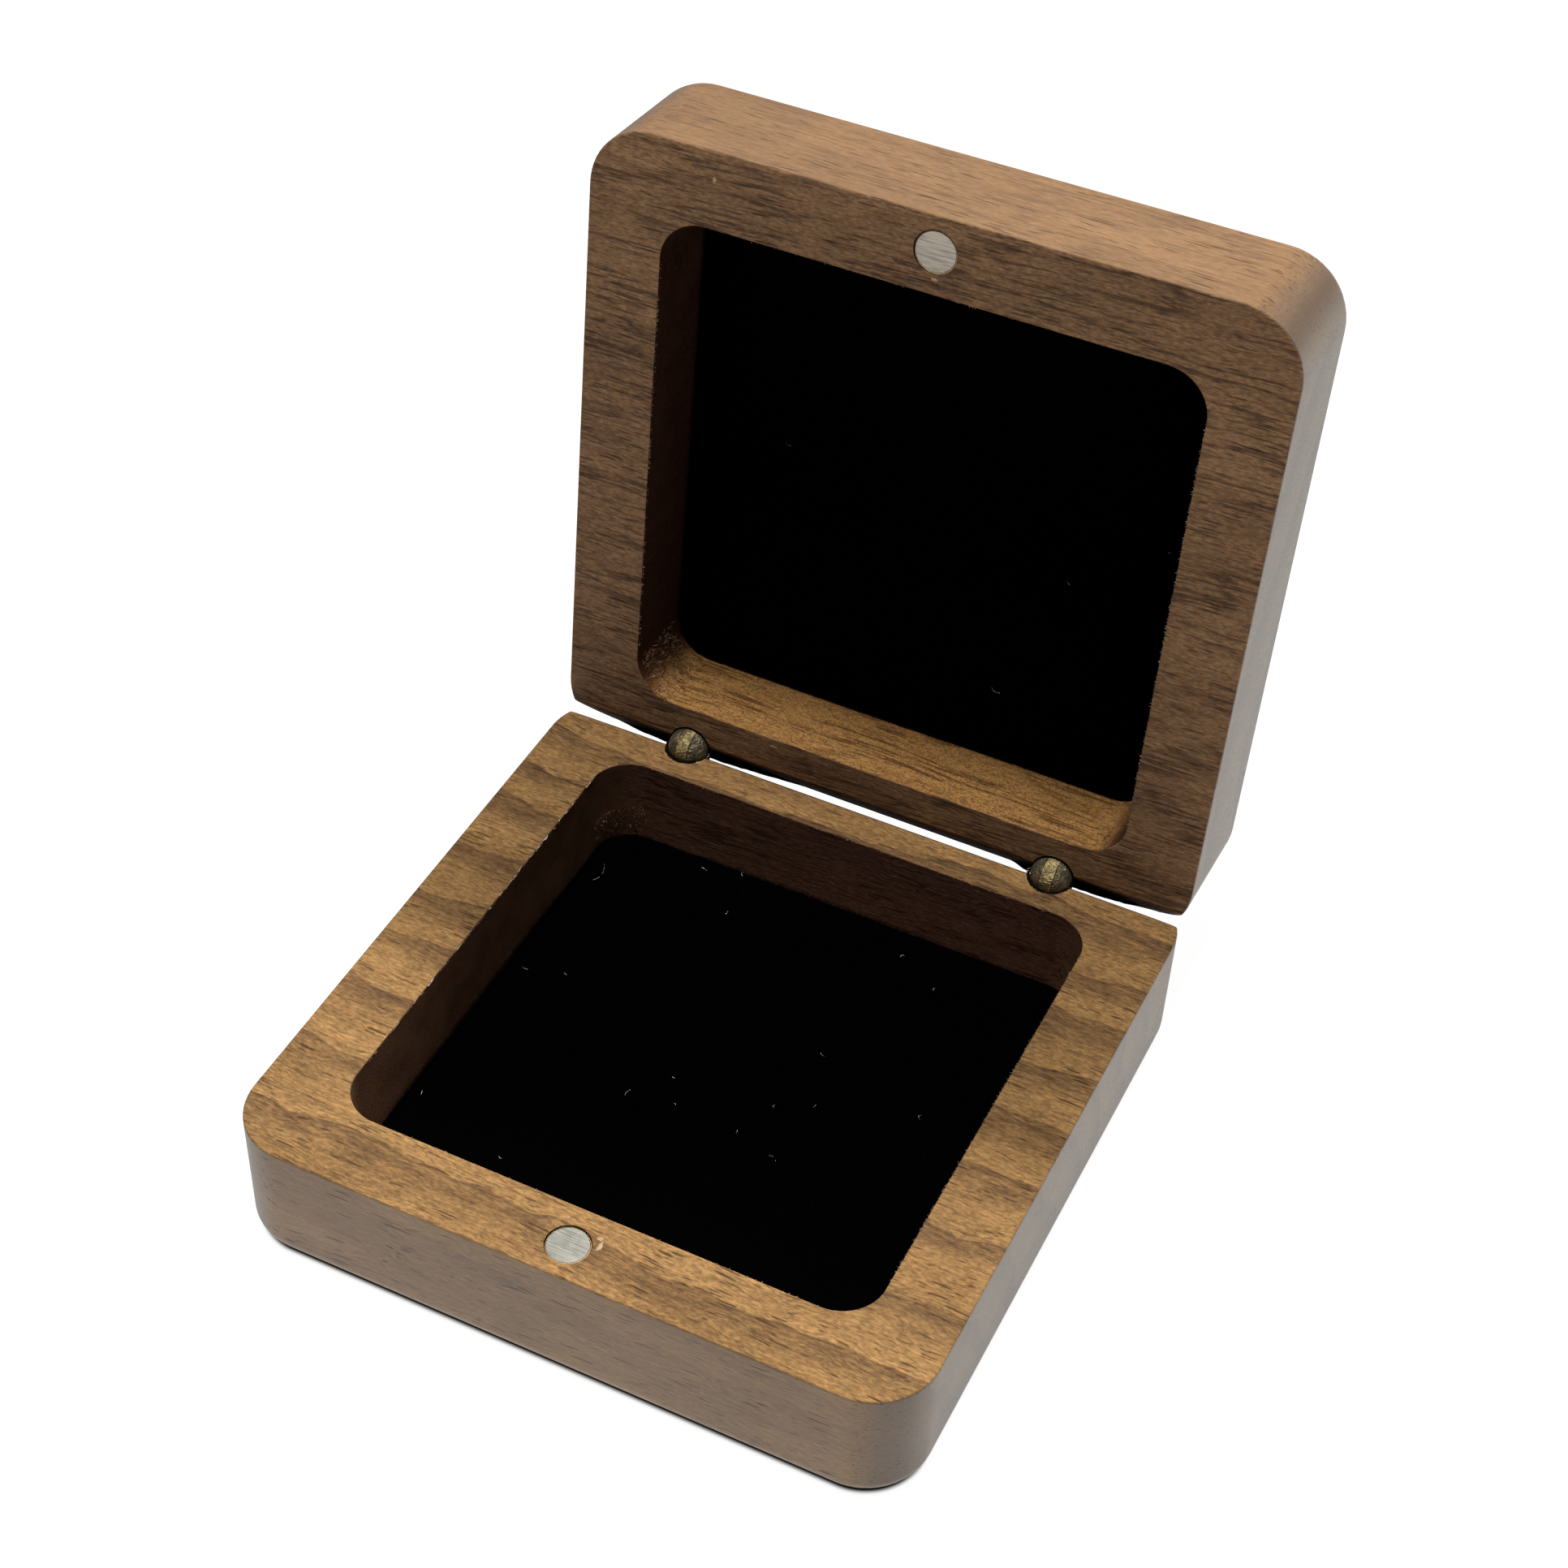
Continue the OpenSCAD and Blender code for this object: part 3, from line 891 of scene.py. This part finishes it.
# %% Dried glue
def cloudy_finish(name, specular, scale, detail, ends, first, second, rough):
    """Two colours mixed by a noise between its two ends. Rough is a number, or a pair for those ends."""
    finish, tree, shader = new_finish(name, specular)
    cloud = noise(tree, place_mm(tree), scale, detail)
    if isinstance(rough, tuple):
        rough = span(tree, cloud, *ends, *rough)
    give(tree, shader, mix(tree, span(tree, cloud, *ends), first, second), rough)
    return finish


def glue_finish(name, brown, pale):
    """Yellowish glue, cloudy, with a soft gloss."""
    return cloudy_finish(name, 0.4, 1.6, 3, (0.3, 0.7), brown, pale, (0.35, 0.55))


glue = glue_finish("dried_glue", (0.30, 0.18, 0.08, 1), (0.40, 0.27, 0.14, 1))
thread_finish = glue_finish("glue_threads", (0.34, 0.28, 0.18, 1), (0.62, 0.56, 0.42, 1))


def round_ring(name, body, finish, centre, reach, thin, thick, thick_at, flat, seed):
    """A closed ring about an upright axis, lying at the centre's height.

    Two parameters: the angle round the axis and the angle round the ring's own section. The section's
    radius goes from thin to thick towards thick_at, with a small random ripple, and flat lowers it.
    """
    around = np.linspace(0, 2 * np.pi, 96, endpoint=False)
    section = np.linspace(0, 2 * np.pi, 10, endpoint=False)
    ripple = 1 + np.random.default_rng(seed).normal(0, 0.10, around.size)
    size = ripple * (thin + (thick - thin) * np.clip(np.cos(around - thick_at) * 0.7 + 0.3, 0, 1))
    out = (reach + size)[:, None] + size[:, None] * np.cos(section)
    height = centre[2] + flat * size[:, None] * np.sin(section)
    x, y = centre[0] + out * np.cos(around)[:, None], centre[1] + out * np.sin(around)[:, None]
    points = np.stack([x, y, height], 2)
    index = np.arange(points.shape[0] * points.shape[1]).reshape(points.shape[:2])
    right, up = np.roll(index, -1, 0), np.roll(index, -1, 1)
    faces = np.stack([index, right, np.roll(right, -1, 1), up], 2).reshape(-1, 4).tolist()
    new_piece(name, body, finish, points.reshape(-1, 3), faces)


def dab(name, body, place, size, height, seed):
    """A low closed drop on a flat face: rings shrink to the top while an uneven outline fades into a dome."""
    random = np.random.default_rng(seed)
    turn = np.linspace(0, 2 * np.pi, 40, endpoint=False)
    waves = random.uniform(-1, 1, (5, 2))
    outline = 1 + 0.13 * sum(a * np.cos(k * turn) + b * np.sin(k * turn) for k, (a, b) in enumerate(waves, 2))
    rise = np.linspace(0, np.pi / 2, 7)[:, None]
    reach = np.cos(rise * 0.98) * outline
    z = height * np.sin(rise) + 0 * outline
    x, y = place[0] + size[0] * reach * np.cos(turn), place[1] + size[1] * reach * np.sin(turn)
    rings = np.stack([x, y, z + RIM_Z], 2)
    points, faces = loft(np.concatenate([rings[:1] - [0, 0, 0.02], rings]))
    new_piece(name, body, glue, points, faces)


RIM_Z = HALF_HEIGHT
for body, rim_wood, thick_at in (("base", base_wood[1], -0.9), ("lid", lid_wood[1], 1.0)):
    low, high = (0, DISC_Y, RIM_Z - 0.16), (0, DISC_Y, RIM_Z - 0.06)
    round_ring(body + "_glue_ring", body, glue, low, 2.30, 0.02, 0.085, thick_at, 0.7, 31)
    round_ring(body + "_disc_collar", body, rim_wood, high, 2.47, 0.09, 0.10, 0, 0.6, 32)
dab("base_glue_smear", "base", (3.0, -34.7), (0.25, 0.60), 0.03, 33)
dab("base_glue_drop", "base", (2.6, -33.8), (0.35, 0.22), 0.04, 34)
dab("base_speck", "base", (-1.7, -32.8), (0.22, 0.16), 0.04, 35)
dab("lid_speck_left", "lid", (-25.3, -36.8), (0.22, 0.30), 0.05, 36)
dab("lid_speck_middle", "lid", (0.3, -32.9), (0.34, 0.18), 0.05, 37)
dab("lid_speck_low", "lid", (-12.6, 32.2), (0.45, 0.12), 0.04, 38)
print("round the discs: two glue rings, two collars and six dabs")

# %% [markdown]
# The barrels sit in holes drilled a little too wide. Round each knuckle the shade in the gap is painted as
# a dark crescent, widest in front. It is a flat ring in near-black wood, and its section swells towards
# the front. A few threads of glue lie at the knuckles' inner sides.

# %% Painted shade crescents and glue threads at the knuckles
hole_shade = cloudy_finish("hole_shade", 0.0, 1.8, 3, (0.5, 0.8), (0.004, 0.003, 0.002, 1),
                           (0.02, 0.012, 0.007, 1), 1.0)


SIDES = {"left": -HINGE_X, "right": HINGE_X}


def glue_threads(side, towards, seed):
    """Short curved threads that lie on the rim beside a knuckle, about the angle towards."""
    random = np.random.default_rng(seed)
    count = 10
    turn = towards + random.uniform(-0.7, 0.7, count)
    reach = random.uniform(2.58, 2.95, count)
    x, y = SIDES[side] + reach * np.cos(turn), PIN_Y + reach * np.sin(turn)
    roots = np.c_[x, y, np.full(count, RIM_Z - 0.01)]
    ahead = np.c_[np.cos(turn + 1.4), np.sin(turn + 1.4), np.zeros(count)]
    hairs(side + "_glue_threads", "base", thread_finish, roots, ahead,
          random.uniform(0.4, 1.1, count), random.uniform(0.035, 0.05, count),
          random.uniform(-0.08, 0.08, count), 7)


for side, x in SIDES.items():
    for body, wide, where in (("base", 0.23, -1.9), ("lid", 0.16, -1.2)):
        middle = (x, PIN_Y, RIM_Z)
        round_ring(f"{side}_{body}_crescent", body, hole_shade, middle, 2.53, 0.03, wide, where, 0.12, 45)
glue_threads("left", -0.2, 46)
glue_threads("right", 3.3, 47)

# %% [markdown]
# Behind the pins both halves are cut off at 45 degrees, and between the two bevels runs a slot, through
# which the paper shows as a thin white line. A low dark ridge along the lid's bevel, higher near the
# barrels, stands in for the shade in the slot: the line is a little ragged and nearly closes at both
# hinges. The ridge is half a tube along x on the bevel, behind the holes of the barrels.

# %% Dark ridge on the lid's rear bevel, standing in for shade
SHADE_RIDGE_Y, SHADE_RIDGE_Z, SHADE_RIDGE_HALF = 39.2, 12.9, 0.3
LOW_SHADE_RIDGE, HIGH_SHADE_RIDGE, BURIED = 0.14, 0.72, 0.05


def rear_shade_ridge(start, end):
    """A half tube along the bevel.

    Two parameters: x, and the angle over the tube's half section. The height falls from 0.72 mm at 4 mm
    beside a hinge to 0.14 mm at 14 mm, or at 6 mm left of the right hinge, times a random ripple, and to
    nothing at both ends. Ends and underside are closed.
    """
    along = np.linspace(start, end, round((end - start) / 0.6))
    turn = np.linspace(0, np.pi, 7)
    ripple = np.random.default_rng(48).uniform(0.90, 1.03, along.size)
    beside = np.abs(np.abs(along) - HINGE_X)
    reach = np.where((along > 0) & (along < HINGE_X), 6.0, 14.0)
    rise = np.clip((reach - beside) / (reach - 4), 0, 1)
    height = (LOW_SHADE_RIDGE + (HIGH_SHADE_RIDGE - LOW_SHADE_RIDGE) * rise) * ripple
    height = height * np.clip((end - np.abs(along)) / 4, 0.1, 1)
    slope, out = np.array([0, 1, -1]) / math.sqrt(2), np.array([0, 1, 1]) / math.sqrt(2)
    centre = np.c_[along, np.full(along.size, SHADE_RIDGE_Y), np.full(along.size, SHADE_RIDGE_Z)]
    lift = height[:, None] * np.sin(turn) - BURIED
    section = SHADE_RIDGE_HALF * np.cos(turn)[None, :, None] * slope + lift[:, :, None] * out
    points, faces = loft(centre[:, None] + section)
    # The ridge has the mating face's wood, whose painted shade makes it dark in the slot.
    new_piece("lid_rear_shade_ridge", "lid", lid_wood[1], points, faces)
    print("burr from", start, "to", end, "mm, up to", height.max().round(2), "mm high")


rear_shade_ridge(-36.0, 36.0)

# %% [markdown]
# Where a cutter leaves the wood, walnut tears. Short splinters lean into the mouth of each pocket, and along
# the base's left edge a few longer pale fibres have lifted. All are hairs, with a root at the edge, a random
# lean and a length under a millimetre.

# %% Splinters at the pockets' mouths
def splinter_finish(name, brown, pale):
    """Raw wood fibre, brown to pale in patches."""
    return cloudy_finish(name, 0.1, 0.6, 2, (0.42, 0.58), brown, pale, 0.8)


fibre_finish = splinter_finish("raw_fibre", (0.16, 0.09, 0.045, 1), (0.50, 0.40, 0.28, 1))
chip_finish = splinter_finish("pale_fibre", (0.34, 0.25, 0.17, 1), (0.80, 0.74, 0.64, 1))


def splinters(body, counts, seed):
    """Short tapered fibres that lean inwards from the four edges of the mouth: left, right, front, rear."""
    random = np.random.default_rng(seed)
    roots, ahead = [], []
    for count, side in zip(counts, np.array([[-1, 0], [1, 0], [0, -1], [0, 1]])):
        along = random.uniform(-26, 26, count)
        edge = POCKET_HALF + random.uniform(0.0, 0.12, count)
        across = side * edge[:, None] + np.abs(side[::-1]) * along[:, None]
        roots.append(np.c_[across, RIM_Z - random.uniform(0.05, 0.25, count)])
        lean = np.array([*-side, 0.0]) + random.normal(0, 0.35, (count, 3)) * [1, 1, 0.4]
        ahead.append(lean / np.linalg.norm(lean, axis=1)[:, None])
    roots, ahead = np.concatenate(roots), np.concatenate(ahead)
    total = len(roots)
    lengths = random.uniform(0.08, 0.26, total)
    hairs(body + "_splinters", body, fibre_finish, roots, ahead, lengths,
          random.uniform(0.02, 0.05, total), random.uniform(-0.25, 0.25, total), 3)


def edge_chips(count, seed):
    """Pale fibres that lie along the left edge of the base's mouth, more of them towards the rear."""
    random = np.random.default_rng(seed)
    along = 27 - 50 * random.uniform(0, 1, count) ** 1.6
    edge = -POCKET_HALF + random.uniform(-0.02, 0.10, count)
    roots = np.c_[edge, along, RIM_Z - random.uniform(0.0, 0.12, count)]
    ahead = np.c_[random.normal(0, 0.08, count), np.ones(count), random.normal(0, 0.06, count)]
    hairs("base_edge_chips", "base", chip_finish, roots, ahead, random.uniform(0.2, 0.9, count),
          random.uniform(0.03, 0.07, count), random.uniform(-0.08, 0.08, count))


splinters("base", (330, 300, 60, 90), 41)
edge_chips(60, 43)
splinters("lid", (220, 330, 50, 80), 42)

# %% [markdown]
# In the rear left corner of both pockets the cutter has scuffed the wood, and fine fibres lie along the
# round wall. An angle round the corner and a height place each one, and it points mostly up or down.

# %% Scuffed fibres in two pocket corners
def corner_fibres(body, low, high, count, lengths, seed):
    """Fibres on the quarter round wall of the rear left corner, at random angles and heights."""
    random = np.random.default_rng(seed)
    turn = random.uniform(0.05, 1.52, count)
    reach = POCKET_RADIUS - 0.03
    inner = POCKET_HALF - POCKET_RADIUS
    x, y = -(inner + reach * np.cos(turn)), inner + reach * np.sin(turn)
    roots = np.c_[x, y, random.uniform(low, high, count)]
    ahead = np.c_[np.cos(turn), -np.sin(turn), random.normal(0, 4.0, count)]
    ahead[:, :2] += random.normal(0, 0.8, (count, 2))
    ahead /= np.linalg.norm(ahead, axis=1)[:, None]
    hairs(body + "_corner_scuffs", body, scuff_finish, roots, ahead,
          random.uniform(*lengths, count), random.uniform(0.025, 0.05, count),
          random.uniform(-0.3, 0.3, count))


scuff_finish = splinter_finish("scuffed_fibre", (0.13, 0.07, 0.035, 1), (0.42, 0.26, 0.15, 1))
corner_fibres("lid", 7.5, 15.6, 320, (0.25, 0.8), 44)
corner_fibres("base", 5.8, 9.5, 130, (0.2, 0.6), 50)

# %% [markdown]
# Flock catches lint. Each pale hair lies where one shows in the photograph, and three numbers give its x,
# its y and its length in millimetres. Directions are random, and so are the bends of the short ones. The
# one long hair is thinner and bends in an even arc.

# %% Lint on the velvet
lint_look = cloudy_finish("pale_lint", 0.2, 2.0, 2, (0.0, 1.0), (0.42, 0.43, 0.45, 1),
                          (0.88, 0.89, 0.90, 1), 0.8)
LONG_HAIR = 2.0
BASE_LINT = ((-17.8, 29.0, 0.9), (-12.8, 30.0, 0.6), (-28.4, 21.0, 3.0), (-11.8, 23.3, 0.6), (21.7, 5.5, 0.7),
             (-8.9, -7.2, 1.0), (6.6, -0.7, 0.6), (10.6, 1.4, 0.5), (10.2, -8.0, 1.1), (-28.0, 4.6, 0.7),
             (-24.0, 6.0, 0.5), (-29.2, -17.1, 0.6), (9.6, 26.6, 0.5), (4.5, -5.9, 0.5), (8.3, 8.4, 0.6),
             (-5.5, -2.3, 0.5), (15.2, 23.4, 0.6), (-3.2, -5.8, 0.4), (-16.9, -21.3, 0.5))
LID_LINT = ((16.9, 4.4, 0.5), (10.8, 21.6, 1.2), (-18.2, -2.0, 0.6), (27.3, -3.6, 0.4))


def lint(body, places, top, seed):
    """Curved hairs that lie on the pad: each starts at its place and runs level in a random direction."""
    random = np.random.default_rng(seed)
    places = np.array(places)
    count = len(places)
    turn = random.uniform(0, 2 * np.pi, count)
    ahead = np.c_[np.cos(turn), np.sin(turn), np.full(count, 0.05)]
    roots = np.c_[places[:, :2], np.full(count, top + 0.12)]
    long = places[:, 2] > LONG_HAIR
    radius = np.where(long, 0.018, random.uniform(0.022, 0.040, count))
    bow = np.where(long, 0.22, random.uniform(-0.45, 0.45, count))
    hairs(body + "_lint", body, lint_look, roots, ahead, places[:, 2], radius, bow, 12)


lint("base", BASE_LINT, FLOOR_Z + BASE_PAD, 51)
lint("lid", LID_LINT, FLOOR_Z + LID_PAD, 52)
